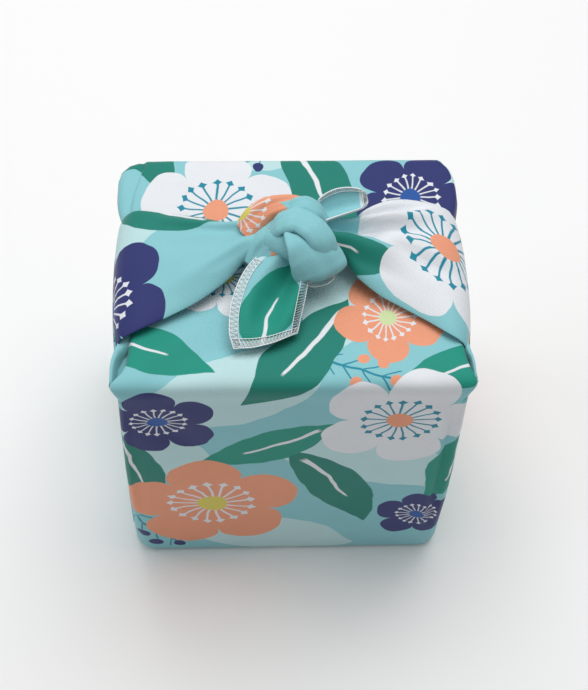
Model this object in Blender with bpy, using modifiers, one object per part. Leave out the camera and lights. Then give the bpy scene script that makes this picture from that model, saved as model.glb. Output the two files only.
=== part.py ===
"""Furoshiki wrap: one square of cotton twill folded round a box-shaped gift and tied on top.

The cloth is one solid. A cup with rounded corners holds the bottom, the four walls and the two
panels that fold over the top. A tie end climbs each side over the cup, narrows across the top and
meets the other in a square knot. One cloth corner falls to the front of the knot, the other to
its back. The inside is hollow. +Z up, +X to the right, +Y to the back, floor at Z = 0.
"""

from math import cos, hypot, pi, radians, sin

import bmesh
import bpy
from mathutils import Vector

MM = 0.001

# Driving sizes, in millimetres.
HALF_WIDTH = 77.6
HALF_DEPTH = 64.5
SHEET = 1.4
LIP_INWARD = 8.0
LIP_HEIGHT = 156.2
# Where the middle of the whole outline lies in the tables below.
MIDDLE = (0.55, 0.063)
COLOUR = (0.45, 0.72, 0.74, 1.0)
ROUGHNESS = 0.8

# The cup's walls. Columns: height, how far the walls stand in from HALF_WIDTH and HALF_DEPTH,
# radius of the front corners, radius of the back corners.
WALL_LEVELS = [
    (0.0, 4.0, 10.0, 9.0),
    (1.1, 1.3, 9.6, 9.0),
    (4.0, 0.3, 9.0, 9.0),
    (14.0, 0.2, 7.5, 8.0),
    (45.0, 0.0, 5.0, 7.0),
    (85.0, -0.2, 4.0, 7.0),
    (125.0, -0.1, 3.6, 8.0),
    (146.0, 0.1, 3.2, 10.0),
    (155.0, 0.3, 3.0, 12.0),
]
ALONG_WIDTH = 12
ALONG_DEPTH = 10
ROUND_A_CORNER = 3

# The panels that fold over the top. Columns: y, height of the middle, half-width, how far the
# two side edges droop below the middle.
FRONT_PANEL = [
    (-64.5, 158.4, 77.2, -0.2),
    (-62.9, 160.9, 80.0, -0.5),
    (-59.0, 161.3, 79.6, 0.2),
    (-50.0, 160.6, 76.4, 0.8),
    (-40.0, 159.6, 73.4, 0.3),
    (-20.0, 159.0, 72.5, 0.0),
    (0.0, 158.8, 72.0, 0.0),
    (16.0, 158.8, 71.0, 0.0),
]
BACK_PANEL = [
    (63.4, 158.6, 68.8, 0.4),
    (60.2, 161.0, 75.0, 1.4),
    (54.0, 161.7, 79.0, 2.6),
    (44.0, 161.8, 79.6, 3.0),
    (36.0, 161.7, 78.6, 2.6),
    (29.0, 161.6, 74.0, 0.8),
    (16.0, 161.4, 72.5, 0.0),
    (4.0, 161.4, 70.0, 0.0),
]

# Soft hollows (negative) and swells of the cup's cloth, in and out along its own surface.
# Columns: x, y, z of the middle, reach along x, along y, along z, depth.
SWELLS = [
    (-66.0, 45.0, 161.0, 9.0, 14.0, 9.0, -1.2),
    (-58.0, -48.0, 161.0, 16.0, 7.0, 9.0, -0.8),
    (55.0, -50.0, 161.0, 18.0, 6.0, 9.0, -0.7),
    (-20.0, -64.0, 95.0, 40.0, 9.0, 45.0, 0.7),
    (45.0, -64.0, 60.0, 22.0, 9.0, 50.0, -0.6),
    (5.0, 64.0, 80.0, 50.0, 9.0, 50.0, 0.8),
]

# Strips of folded cloth. Columns: x, y, z of the middle, width, thickness, crown (how far the
# middle stands off its edges), heading of the width from +X towards +Y, its tilt upwards.
LEFT_END = [
    (-70.0, 0.0, 0.80, 96.0, 0.7, 0.0, 90.0, 0.0),
    (-76.4, 0.0, 1.90, 99.0, 1.2, 0.0, 90.0, 0.0),
    (-79.3, 0.0, 7.50, 102.0, 2.2, 0.0, 90.0, 0.0),
    (-79.7, 0.0, 40.0, 106.0, 2.4, 0.2, 90.0, 0.0),
    (-79.9, -1.0, 85.0, 103.0, 2.4, 0.4, 90.0, 0.0),
    (-79.9, -3.0, 125.0, 86.0, 2.4, 0.4, 90.0, 0.0),
    (-79.6, -4.5, 150.0, 73.0, 2.4, 0.4, 90.0, 0.0),
    (-77.6, -4.6, 161.0, 69.0, 2.4, 0.7, 90.0, -1.0),
    (-70.5, -3.8, 166.2, 66.0, 2.4, 1.4, 91.0, 1.0),
    (-57.0, -0.8, 168.8, 57.0, 2.4, 4.0, 92.0, 1.0),
    (-43.0, 1.6, 171.0, 46.0, 3.0, 5.0, 93.0, 1.0),
    (-31.0, 3.6, 173.4, 32.0, 4.2, 5.0, 94.0, 1.0),
    (-22.0, 5.6, 175.8, 20.0, 6.6, 3.0, 95.0, 1.0),
    (-10.0, 6.0, 177.6, 15.0, 9.0, 0.5, 95.0, 0.0),
]
RIGHT_END = [
    (70.0, 0.0, 0.80, 96.0, 0.7, 0.0, -90.0, 0.0),
    (76.4, 0.0, 1.90, 99.0, 1.2, 0.0, -90.0, 0.0),
    (79.3, 0.0, 7.50, 102.0, 2.2, 0.0, -90.0, 0.0),
    (80.1, 0.0, 40.0, 107.0, 2.4, 0.5, -90.0, 0.0),
    (80.6, -1.0, 85.0, 106.0, 2.4, 0.8, -90.0, 0.0),
    (80.8, -3.0, 125.0, 92.0, 2.4, 1.0, -90.0, 0.0),
    (81.0, -5.0, 146.0, 80.0, 2.4, 1.0, -90.0, 0.0),
    (80.6, -5.8, 155.0, 76.0, 2.4, 1.0, -90.0, 0.0),
    (78.2, -6.0, 162.0, 74.0, 2.2, 1.2, -90.0, 0.0),
    (72.0, -5.2, 166.8, 72.0, 2.4, 2.2, -90.5, -0.5),
    (58.0, 1.0, 169.8, 62.0, 2.4, 5.0, -92.0, -3.0),
    (45.0, 4.0, 172.2, 51.0, 3.0, 6.0, -93.0, -4.0),
    (33.0, 4.4, 174.4, 34.0, 4.2, 5.5, -94.0, -3.0),
    (24.0, 5.0, 176.2, 18.0, 6.6, 3.0, -95.0, -1.0),
    (12.0, 5.6, 177.6, 14.0, 9.0, 0.5, -95.0, 0.0),
]
FRONT_TAIL = [
    (2.0, 2.0, 180.0, 10.0, 4.0, 0.5, 8.0, 2.0),
    (-2.0, -6.0, 177.0, 16.0, 2.6, 2.5, 4.0, 6.0),
    (-7.0, -13.0, 174.6, 27.0, 1.8, 4.6, 0.0, 5.0),
    (-10.6, -21.0, 172.0, 33.0, 1.5, 5.0, -4.0, 4.0),
    (-12.6, -30.0, 169.2, 32.0, 1.5, 4.2, -6.0, 2.0),
    (-13.2, -38.0, 167.0, 28.5, 1.5, 3.0, 2.0, 1.0),
    (-13.6, -45.2, 165.6, 23.5, 1.4, 1.8, 10.0, 1.0),
]
REAR_TAIL = [
    (7.0, 7.0, 183.0, 9.0, 4.0, -0.5, 120.0, 0.0),
    (12.5, 12.0, 185.2, 12.0, 2.4, -2.6, 118.0, 4.0),
    (18.0, 17.4, 186.4, 15.0, 1.6, -3.6, 115.0, 6.0),
    (25.0, 20.6, 186.6, 14.5, 1.5, -3.2, 112.0, 8.0),
    (31.0, 22.4, 186.0, 11.0, 1.4, -2.2, 108.0, 10.0),
    (35.2, 23.2, 185.4, 6.0, 1.3, -1.0, 104.0, 10.0),
]
COLLAR = [
    (-9.0, 5.0, 184.0, 9.0, 6.0, 0.5, 70.0, 30.0),
    (-5.0, 5.0, 189.0, 12.0, 5.6, 1.0, 66.0, 16.0),
    (2.0, 4.0, 192.2, 13.5, 5.2, 1.6, 60.0, 8.0),
    (9.5, 0.0, 191.0, 13.5, 5.2, 1.6, 44.0, 4.0),
    (14.5, -5.6, 186.5, 12.0, 5.0, 1.0, 30.0, 0.0),
    (16.0, -9.0, 179.0, 10.0, 5.0, 0.5, 20.0, 0.0),
]
WRAP = [
    (-1.0, 2.0, 188.0, 14.0, 4.0, 0.6, 50.0, -20.0),
    (3.5, -3.5, 188.0, 20.0, 3.6, 3.0, 36.0, -12.0),
    (8.5, -9.0, 184.5, 25.0, 3.2, 4.0, 28.0, -2.0),
    (12.5, -14.0, 179.0, 27.0, 3.0, 4.0, 22.0, 4.0),
    (14.6, -17.0, 173.0, 26.0, 3.0, 3.0, 18.0, 6.0),
    (13.8, -15.0, 168.4, 22.0, 2.4, 1.5, 16.0, 6.0),
]
NEAR_ROLL = [
    (-21.5, 7.0, 177.5, 12.0, 7.0, 0.5, 95.0, 0.0),
    (-15.0, 9.0, 182.4, 13.0, 8.0, 1.0, 105.0, 4.0),
    (-8.0, 13.0, 186.0, 13.0, 8.0, 1.0, 118.0, 4.0),
    (0.0, 15.0, 186.4, 12.0, 8.0, 1.0, 100.0, 0.0),
    (7.0, 13.6, 185.2, 12.0, 8.0, 1.0, 75.0, 0.0),
    (12.0, 9.0, 182.0, 11.0, 8.0, 0.5, 50.0, 0.0),
]
GUSSET = [
    (-17.0, -7.0, 171.5, 11.0, 3.0, 0.5, 120.0, 20.0),
    (-14.0, -3.0, 176.5, 15.0, 4.0, 2.0, 122.0, 16.0),
    (-8.0, -0.5, 181.0, 17.0, 5.0, 3.0, 118.0, 8.0),
    (-1.0, 1.0, 183.5, 15.0, 6.0, 2.0, 100.0, 0.0),
]
# The gathered cloth in the heart of the knot. Columns: x, y, z, half-lengths along x, y and z.
HEART = (3.0, 1.6, 180.0, 14.5, 12.0, 9.0)

# Strips in the order they are joined. Columns: rows, steps between rows, points across, how
# square the edge is (2 is a round roll, 6 a flat strip), whether sections hold their heading.
STRIPS = {
    "left_end": (LEFT_END, 2, 10, 6, True),
    "right_end": (RIGHT_END, 2, 10, 6, True),
    "near_roll": (NEAR_ROLL, 2, 8, 2, False),
    "gusset": (GUSSET, 2, 8, 4, False),
    "collar": (COLLAR, 2, 8, 3, False),
    "wrap": (WRAP, 2, 8, 4, False),
    "front_tail": (FRONT_TAIL, 2, 8, 6, False),
    "rear_tail": (REAR_TAIL, 2, 8, 6, False),
}


def smooth_rows(rows, steps):
    """Put `steps` rows in place of each one, on smooth curves that never overshoot."""
    at = [0.0]
    for one, two in zip(rows, rows[1:]):
        at.append(at[-1] + hypot(*(b - a for a, b in zip(one[:3], two[:3]))))
    columns = []
    for values in zip(*rows):
        rise = [(b - a) / (t - s) for a, b, s, t in zip(values, values[1:], at, at[1:])]
        slope = [rise[0]]
        for before, after in zip(rise, rise[1:]):
            slope.append(0.0 if before * after <= 0 else 2 * before * after / (before + after))
        slope.append(rise[-1])
        column = []
        for i, gap in enumerate(t - s for s, t in zip(at, at[1:])):
            for step in range(steps):
                u = step / steps
                column.append(
                    values[i] * (1 + 2 * u) * (1 - u) ** 2
                    + values[i + 1] * u * u * (3 - 2 * u)
                    + slope[i] * gap * u * (1 - u) ** 2
                    - slope[i + 1] * gap * u * u * (1 - u)
                )
        columns.append(column + [values[-1]])
    return list(zip(*columns))


def body(name, bm, collection):
    """Finish a closed mesh over the middle of the outline and put it in the collection."""
    for vert in bm.verts:
        vert.co -= Vector((MIDDLE[0], MIDDLE[1], 0.0)) * MM
    bmesh.ops.recalc_face_normals(bm, faces=bm.faces)
    mesh = bpy.data.meshes.new(name)
    bm.to_mesh(mesh)
    bm.free()
    obj = bpy.data.objects.new(name, mesh)
    collection.objects.link(obj)
    return obj


def strip(name, rows, steps, across, square, held, collection):
    """Loft a closed strip through a table's sections, held to their heading or square to the path."""
    rows = smooth_rows(rows, steps)
    bm = bmesh.new()
    loops = []
    for i, (x, y, z, width, thick, crown, heading, tilt) in enumerate(rows):
        before = Vector(rows[max(i - 1, 0)][:3])
        after = Vector(rows[min(i + 1, len(rows) - 1)][:3])
        along = (after - before).normalized()
        flat = cos(radians(tilt))
        side = Vector((flat * cos(radians(heading)), flat * sin(radians(heading)), sin(radians(tilt))))
        if not held:
            side = (side - along * side.dot(along)).normalized()
        up = along.cross(side).normalized()
        upper = []
        lower = []
        for k in range(across + 1):
            s = -cos(pi * k / across)
            middle = Vector((x, y, z)) + side * (width / 2 * s) - up * (crown * s * s)
            half = thick / 2 * max(1 - abs(s) ** square, 0.0) ** 0.5
            if 0 < k < across:
                upper.append(middle + up * half)
                lower.append(middle - up * half)
            else:
                upper.append(middle)
        loops.append([bm.verts.new(p * MM) for p in upper + lower[::-1]])
    for one, two in zip(loops, loops[1:]):
        for a, b, c, d in zip(one, one[1:] + one[:1], two[1:] + two[:1], two):
            bm.faces.new((a, b, c, d))
    for loop in (loops[0], loops[-1]):
        bm.faces.new(loop)
    return body(name, bm, collection)


def ring(level):
    """Points round the cup at one level, from the front's left end round to the right."""
    height, inset, front, back = level
    wide = HALF_WIDTH - inset
    deep = HALF_DEPTH - inset
    corners = [
        (wide - front, -deep + front, front, -90, ALONG_DEPTH),
        (wide - back, deep - back, back, 0, ALONG_WIDTH),
        (-wide + back, deep - back, back, 90, ALONG_DEPTH),
        (-wide + front, -deep + front, front, 180, ALONG_WIDTH),
    ]
    points = []
    for (x, y, r, start, count), (nx, ny, nr, _, _) in zip(corners, corners[1:] + corners[:1]):
        for k in range(ROUND_A_CORNER + 1):
            a = radians(start + 90 * k / ROUND_A_CORNER)
            points.append((x + r * cos(a), y + r * sin(a), height))
        a = radians(start + 90)
        end = (nx + nr * cos(a), ny + nr * sin(a))
        x0, y0, _ = points[-1]
        for k in range(1, count):
            points.append((x0 + (end[0] - x0) * k / count, y0 + (end[1] - y0) * k / count, height))
    return points


def swell(point, normal):
    """Move a point of the cup in or out by the table of swells."""
    for x, y, z, rx, ry, rz, depth in SWELLS:
        d = ((point.x - x) / rx) ** 2 + ((point.y - y) / ry) ** 2 + ((point.z - z) / rz) ** 2
        point = point + normal * (depth * 2.718 ** -d)
    return point


def cup(collection):
    """Fold the cup from one open surface and give it the cloth's thickness."""
    bm = bmesh.new()
    levels = []
    for level in WALL_LEVELS:
        levels.append([bm.verts.new(p) for p in ring(level)])
    for low, high in zip(levels, levels[1:]):
        for a, b, c, d in zip(low, low[1:] + low[:1], high[1:] + high[:1], high):
            bm.faces.new((a, b, c, d))
    bm.faces.new(levels[0][::-1])
    top = levels[-1]
    turn = ROUND_A_CORNER
    right = top[turn : turn + ALONG_DEPTH + 1]
    back = top[2 * turn + ALONG_DEPTH : 2 * turn + ALONG_DEPTH + ALONG_WIDTH + 1]
    left_from = 3 * turn + ALONG_DEPTH + ALONG_WIDTH
    left = top[left_from : left_from + ALONG_DEPTH + 1]
    front = top[4 * turn + 2 * ALONG_DEPTH + ALONG_WIDTH :] + top[:1]
    for edge, rows in ((front, FRONT_PANEL), (back, BACK_PANEL)):
        reach = edge[-1].co.x
        shares = [v.co.x / abs(reach) for v in edge]
        for y, z, half, droop in rows:
            made = [bm.verts.new((half * s, y, z - droop * s**6)) for s in shares]
            for a, b, c, d in zip(edge, edge[1:], made[1:], made):
                bm.faces.new((a, b, c, d))
            edge = made
    for edge, way in ((right, -1), (left, 1)):
        for inward in (1.4, LIP_INWARD):
            made = [
                bm.verts.new((v.co.x + way * (inward - (0 if inward < 2 else 1.4)), v.co.y, LIP_HEIGHT))
                for v in edge
            ]
            for a, b, c, d in zip(edge, edge[1:], made[1:], made):
                bm.faces.new((a, b, c, d))
            edge = made
    bmesh.ops.recalc_face_normals(bm, faces=bm.faces)
    bm.normal_update()
    moved = [(v, swell(v.co.copy(), v.normal)) for v in bm.verts if v.co.z > 20]
    for vert, place in moved:
        vert.co = place
    for vert in bm.verts:
        vert.co = vert.co * MM
    obj = body("furoshiki_cloth", bm, collection)
    floor = min(obj.data.polygons, key=lambda p: p.center.z)
    if floor.normal.z > 0:
        obj.data.flip_normals()
    sheet = obj.modifiers.new("sheet", "SOLIDIFY")
    sheet.thickness = SHEET * MM
    sheet.offset = -1.0
    sheet.use_even_offset = True
    return obj


def heart(collection):
    """The gathered cloth inside the knot."""
    x, y, z, rx, ry, rz = HEART
    bm = bmesh.new()
    bmesh.ops.create_uvsphere(bm, u_segments=14, v_segments=8, radius=1.0)
    for v in bm.verts:
        v.co = Vector((x + v.co.x * rx, y + v.co.y * ry, z + v.co.z * rz)) * MM
    return body("knot_heart", bm, collection)


def build():
    for obj in list(bpy.data.objects):
        bpy.data.objects.remove(obj)
    shown = bpy.data.collections.new("furoshiki_wrap")
    joined = bpy.data.collections.new("joined_strips")
    bpy.context.scene.collection.children.link(shown)
    bpy.context.scene.collection.children.link(joined)
    cloth = cup(shown)
    pieces = [heart(joined)]
    for name, (rows, steps, across, square, held) in STRIPS.items():
        pieces.append(strip(name, rows, steps, across, square, held, joined))
    for piece in pieces:
        piece.hide_render = True
        piece.display_type = "WIRE"
        union = cloth.modifiers.new("join_" + piece.name, "BOOLEAN")
        union.operation = "UNION"
        union.solver = "EXACT"
        union.object = piece
    material = bpy.data.materials.new("cotton_twill")
    material.use_nodes = True
    shader = material.node_tree.nodes["Principled BSDF"]
    shader.inputs["Base Color"].default_value = COLOUR
    shader.inputs["Roughness"].default_value = ROUGHNESS
    cloth.data.materials.append(material)


build()
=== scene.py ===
# %% [markdown]
# # A furoshiki wrap
# A furoshiki is one square of cloth that wraps a gift and ties on top. This lesson folds
# that square round an invisible box: walls first, then the panels that close the top, the two
# tie ends that climb the sides, and the knot with its two short tails. Every piece of cloth
# keeps its place on the flat square as a UV map, so one print and one weave run over it all.

# %% Load the frame
from math import cos, hypot, pi, radians, sin, sqrt

import bmesh
import bpy
from mathutils import Matrix, Vector, noise


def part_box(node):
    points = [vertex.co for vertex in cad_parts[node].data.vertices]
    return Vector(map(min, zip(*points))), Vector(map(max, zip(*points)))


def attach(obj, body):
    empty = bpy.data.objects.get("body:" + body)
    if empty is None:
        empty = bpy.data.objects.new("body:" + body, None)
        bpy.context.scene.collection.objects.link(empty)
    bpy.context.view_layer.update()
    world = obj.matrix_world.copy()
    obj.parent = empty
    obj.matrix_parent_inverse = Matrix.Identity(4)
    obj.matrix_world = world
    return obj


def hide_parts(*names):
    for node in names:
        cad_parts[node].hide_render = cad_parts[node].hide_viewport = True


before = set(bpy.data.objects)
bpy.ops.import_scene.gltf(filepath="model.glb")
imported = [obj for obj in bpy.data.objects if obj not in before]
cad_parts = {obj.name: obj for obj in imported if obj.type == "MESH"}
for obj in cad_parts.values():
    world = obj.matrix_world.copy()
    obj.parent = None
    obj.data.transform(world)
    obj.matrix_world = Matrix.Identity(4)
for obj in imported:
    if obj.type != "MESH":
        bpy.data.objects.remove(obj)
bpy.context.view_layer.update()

MM = 0.001
WELD = 0.01
QUARTER = radians(90)

# %% [markdown]
# The solid of the cloth gives the sizes. Its tie ends stand a little off the walls and its knot
# rises over the top, so the wrapped box is a little smaller than the solid's own box.

# %% Sizes of the wrapped box, in millimetres
LOW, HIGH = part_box("furoshiki_cloth")
TIE_ENDS_STAND_OFF = 4.05
PANELS_STAND_OFF = 0.92
HALF_WIDTH = (HIGH[0] - LOW[0]) / 2 / MM - TIE_ENDS_STAND_OFF
HALF_DEPTH = (HIGH[1] - LOW[1]) / 2 / MM - PANELS_STAND_OFF
MIDDLE = Vector((0.55, 0.063, 0.0))
SHEET = 0.6
CUT = 600.0
CORNER = CUT / sqrt(2)
print("half width, half depth:", round(HALF_WIDTH, 2), round(HALF_DEPTH, 2))

# %% [markdown]
# Folded cloth is easiest to describe by a few cross-sections. A table has one row for each
# section, and this helper runs smooth curves through the rows, column by column. The curves
# never overshoot a row, so a flat stretch stays flat.

# %% Smooth curves through a table
def through(rows, reach=3):
    """Return f(t), t from 0 to 1 by distance over the first `reach` columns."""
    at = [0.0]
    for one, two in zip(rows, rows[1:]):
        at.append(at[-1] + hypot(*(b - a for a, b in zip(one[:reach], two[:reach]))))
    slopes = []
    for values in zip(*rows):
        rise = [(b - a) / (t - s) for a, b, s, t in zip(values, values[1:], at, at[1:])]
        inner = [0.0 if a * b <= 0 else 2 * a * b / (a + b) for a, b in zip(rise, rise[1:])]
        slopes.append([rise[0], *inner, rise[-1]])

    def value(t):
        here = min(max(t, 0.0), 1.0) * at[-1]
        i = next(k for k in range(len(at) - 1) if here <= at[k + 1] or k == len(at) - 2)
        gap = at[i + 1] - at[i]
        u = (here - at[i]) / gap
        out = []
        for c, slope in enumerate(slopes):
            a = rows[i][c] * (1 + 2 * u) * (1 - u) ** 2
            b = rows[i + 1][c] * u * u * (3 - 2 * u)
            out.append(a + b + gap * u * (1 - u) * (slope[i] * (1 - u) - slope[i + 1] * u))
        return out

    value.length = at[-1]
    return value


SWELL_REACH = 2.6


def swell(off):
    """The rounded section of a crease: 1 on its line, and next to nothing at SWELL_REACH."""
    return 2.718 ** (-off * off)


def ease(low, high, x):
    """0 below low, 1 above high, and a smooth step between."""
    u = min(max((x - low) / (high - low), 0.0), 1.0)
    return u * u * (3 - 2 * u)


# %% [markdown]
# Cloth is never quite flat. Long shallow waves cover all of it, and the main creases come from
# a table in the square's own flat measure, so a crease runs on over a box edge as in real cloth.

# %% Creases on the flat cloth
# Columns: from u, from v, to u, to v, half-width, height (negative is a trough), all in mm.
CREASES = [
    (-70.0, -236.0, -34.0, -262.0, 5.0, 0.9),
    (-62.0, -230.0, -20.0, -248.0, 6.0, -0.6),
    (72.0, -232.0, 44.0, -256.0, 5.0, 0.7),
    (-72.0, -214.0, -26.0, -250.0, 7.0, -1.3),
    (-74.0, -210.0, -34.0, -160.0, 8.0, -1.1),
    (73.0, -214.0, 34.0, -252.0, 7.0, -1.2),
    (66.0, -150.0, 70.0, -90.0, 5.0, 0.7),
    (-66.0, -120.0, -70.0, -70.0, 6.0, 0.5),
    (71.2, -92.0, 72.6, -206.0, 1.9, -2.8),
    (67.6, -92.0, 69.2, -206.0, 2.6, 0.8),
    (-72.4, -110.0, -73.0, -200.0, 2.0, -1.2),
    (-60.0, 236.0, -20.0, 250.0, 6.0, 0.5),
    (30.0, 240.0, 70.0, 232.0, 7.0, -0.6),
]


def crease(u, v):
    """Height of the cloth over its own smooth form at a spot of the flat square."""
    height = 0.55 * noise.noise(Vector((u / 46, v / 52, 3.1)))
    height += 0.16 * noise.noise(Vector((u / 15, v / 17, 8.4)))
    for u0, v0, u1, v1, half, tall in CREASES:
        along = Vector((u1 - u0, v1 - v0))
        spot = Vector((u - u0, v - v0))
        share = min(max(spot.dot(along) / along.length_squared, -0.2), 1.2)
        off = (spot - along * share).length / half
        if off < SWELL_REACH:
            fade = ease(-0.2, 0.25, share) * (1 - ease(0.75, 1.2, share))
            height += tall * fade * swell(off)
    return height


# %% [markdown]
# Each stretch of cloth starts as a grid and takes its shape by moving the grid's corners. The
# same grid carries the flat square's coordinates, in metres, as its UV map.

# %% Make one stretch of cloth from a grid
stretches = []


def stretch(across, along, place, flat, facing=None):
    """place(i, j) is a corner's spot in millimetres, flat(i, j) its spot on the flat cloth."""
    bm = bmesh.new()
    bmesh.ops.create_grid(bm, x_segments=across, y_segments=along, size=0.5)
    uv = bm.loops.layers.uv.new("flat_cloth")
    spots = {}
    for vert in bm.verts:
        spots[vert] = (round((vert.co.x + 0.5) * across), round((vert.co.y + 0.5) * along))
    for face in bm.faces:
        for loop in face.loops:
            loop[uv].uv = Vector(flat(*spots[loop.vert])) * MM
    for vert, (i, j) in spots.items():
        vert.co = place(i, j)
    bmesh.ops.remove_doubles(bm, verts=bm.verts, dist=WELD)
    if facing is None:
        bmesh.ops.recalc_face_normals(bm, faces=bm.faces)
    else:
        bm.normal_update()
        if sum(face.normal.dot(facing) * face.calc_area() for face in bm.faces) < 0:
            bmesh.ops.reverse_faces(bm, faces=bm.faces)
    stretches.append(bm)
    return bm


# %% [markdown]
# ## The walls
# Seen from above, the cloth round the box is a rectangle with rounded corners, tighter at the
# front than at the back. Near the floor it turns in to the flat base. The front and the back of
# the cloth each make a U that meets the other in the middle of the sides, under the tie ends.

# %% Walls
# Columns: height, how far in from the half width and depth, front and back corner radius.
WALL_LEVELS = [
    (0.0, 4.0, 10.0, 9.0),
    (1.1, 1.3, 9.6, 9.0),
    (4.0, 0.3, 9.0, 9.0),
    (14.0, 0.2, 7.5, 8.0),
    (45.0, 0.0, 5.0, 7.0),
    (85.0, -0.2, 4.0, 7.0),
    (125.0, -0.1, 3.6, 8.0),
    (150.0, 0.2, 3.1, 11.0),
]
FLAT_COLUMNS = 30
ROUND_COLUMNS = 4
SIDE_COLUMNS = 14
WALL_ROWS = 40
WALL_TOP = WALL_LEVELS[-1][0]
wall_level = through([(z, inset, front, back) for z, inset, front, back in WALL_LEVELS], reach=1)
COLUMNS = FLAT_COLUMNS + ROUND_COLUMNS + SIDE_COLUMNS


def wall_height(j):
    """Rows crowd near the floor, where the cloth turns in."""
    return WALL_TOP * (j / WALL_ROWS) ** 1.35


def round_the_box(k, z, side):
    """Column k of the wall, counted from the middle of the front (side -1) or back (+1)."""
    _, inset, front, back = wall_level(z / WALL_TOP)
    r = front if side < 0 else back
    wide = HALF_WIDTH - inset
    deep = HALF_DEPTH - inset
    n = abs(k)
    way = 1 if k > 0 else -1
    if n <= FLAT_COLUMNS:
        x = (wide - r) * n / FLAT_COLUMNS
        return Vector((way * x, side * deep, z)), Vector((0, side, 0)), x * way
    if n <= FLAT_COLUMNS + ROUND_COLUMNS:
        a = QUARTER * (n - FLAT_COLUMNS) / ROUND_COLUMNS
        out = Vector((way * sin(a), side * cos(a), 0))
        spot = Vector((way * (wide - r), side * (deep - r), z)) + out * r
        return spot, out, way * (wide - r + r * a)
    q = (n - FLAT_COLUMNS - ROUND_COLUMNS) / SIDE_COLUMNS
    gone = (deep - r) * q
    spot = Vector((way * wide, side * (deep - r - gone), z))
    return spot, Vector((way, 0, 0)), way * (wide - r + r * pi / 2 + gone)


def wall_flat(k, z, side):
    return round_the_box(k, max(z, 30.0), side)[2], side * (HALF_DEPTH + z)


def wall_spot(k, z, side):
    """A wall corner with its creases, which fade out at the floor and at the top."""
    spot, out, u = round_the_box(k, z, side)
    loose = ease(6, 30, z) * (1 - ease(WALL_TOP - 12, WALL_TOP, z))
    return spot + out * (crease(u, side * (HALF_DEPTH + z)) * loose)


for side in (-1, 1):
    stretch(
        2 * COLUMNS,
        WALL_ROWS,
        lambda i, j: wall_spot(i - COLUMNS, wall_height(j), side),
        lambda i, j: wall_flat(i - COLUMNS, wall_height(j), side),
        Vector((0, side, 0)),
    )

# %% [markdown]
# ## The base and the folded corners
# The middle of the square lies flat under the box. A square cloth has more cloth at each corner
# of the box than the walls need, and a real wrap doubles it back inside the side walls. It is
# out of sight there, so its place and amount are a guess: four plain stretches, each separate
# from the wall in front of it. On the base only a few leaf ends show.

# %% Base
BASE_INSET = WALL_LEVELS[0][1]
BASE_ROUND = WALL_LEVELS[0][2]
BASE_COLUMNS, BASE_ROWS = 28, 24


def base_spot(i, j):
    """A rectangle with rounded corners, which meets the walls' first row."""
    wide, deep = HALF_WIDTH - BASE_INSET, HALF_DEPTH - BASE_INSET
    x = (2 * i / BASE_COLUMNS - 1) * wide
    y = (2 * j / BASE_ROWS - 1) * deep
    over_x = abs(x) - (wide - BASE_ROUND)
    over_y = abs(y) - (deep - BASE_ROUND)
    if over_x > 0 and over_y > 0:
        keep = max(over_x, over_y) / hypot(over_x, over_y)
        x = (abs(x) - over_x * (1 - keep)) * (1 if x > 0 else -1)
        y = (abs(y) - over_y * (1 - keep)) * (1 if y > 0 else -1)
    return Vector((x, y, 0.0))


stretch(
    BASE_COLUMNS,
    BASE_ROWS,
    base_spot,
    lambda i, j: base_spot(i, j).xy,
    Vector((0, 0, -1)),
)

# %% Cloth doubled back inside the side walls
FOLD_INSIDE = 1.7
FOLD_TURN_IN = 3.0
FOLD_NEAR, FOLD_FAR = 3.0, 59.0
FOLD_LOW = 3.0
FOLD_COLUMNS, FOLD_ROWS = 9, 14


def fold_spot(way, side, i, j):
    """From the middle of the side back towards the box's upright edge."""
    y = FOLD_NEAR + (FOLD_FAR - FOLD_NEAR) * i / FOLD_COLUMNS
    z = FOLD_LOW + (WALL_TOP - FOLD_LOW) * j / FOLD_ROWS
    inward = FOLD_INSIDE + FOLD_TURN_IN * (1 - ease(0, 12, z))
    inward += 0.3 * noise.noise(Vector((y / 20, z / 26, way)))
    return Vector((way * (HALF_WIDTH - inward), side * y, z))


def fold_flat(way, side, i, j):
    """The doubled cloth carries on past the middle of the side on the flat square."""
    gone = (FOLD_FAR - FOLD_NEAR) * i / FOLD_COLUMNS
    z = FOLD_LOW + (WALL_TOP - FOLD_LOW) * j / FOLD_ROWS
    return way * (HALF_WIDTH + HALF_DEPTH + gone), side * (HALF_DEPTH + z)


for way in (-1, 1):
    for side in (-1, 1):
        stretch(
            FOLD_COLUMNS,
            FOLD_ROWS,
            lambda i, j: fold_spot(way, side, i, j),
            lambda i, j: fold_flat(way, side, i, j),
            Vector((way, 0, 0)),
        )

# %% [markdown]
# ## The panels over the top
# The front of the cloth turns back over the top edge and the back of the cloth lies over it.
# Each panel is a row of cross-sections that climbs the last of the wall, rounds the edge and
# lies on the box. Its two side edges roll down: at the front corners that leaves the small
# pointed ears and the pockets behind them.

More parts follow.
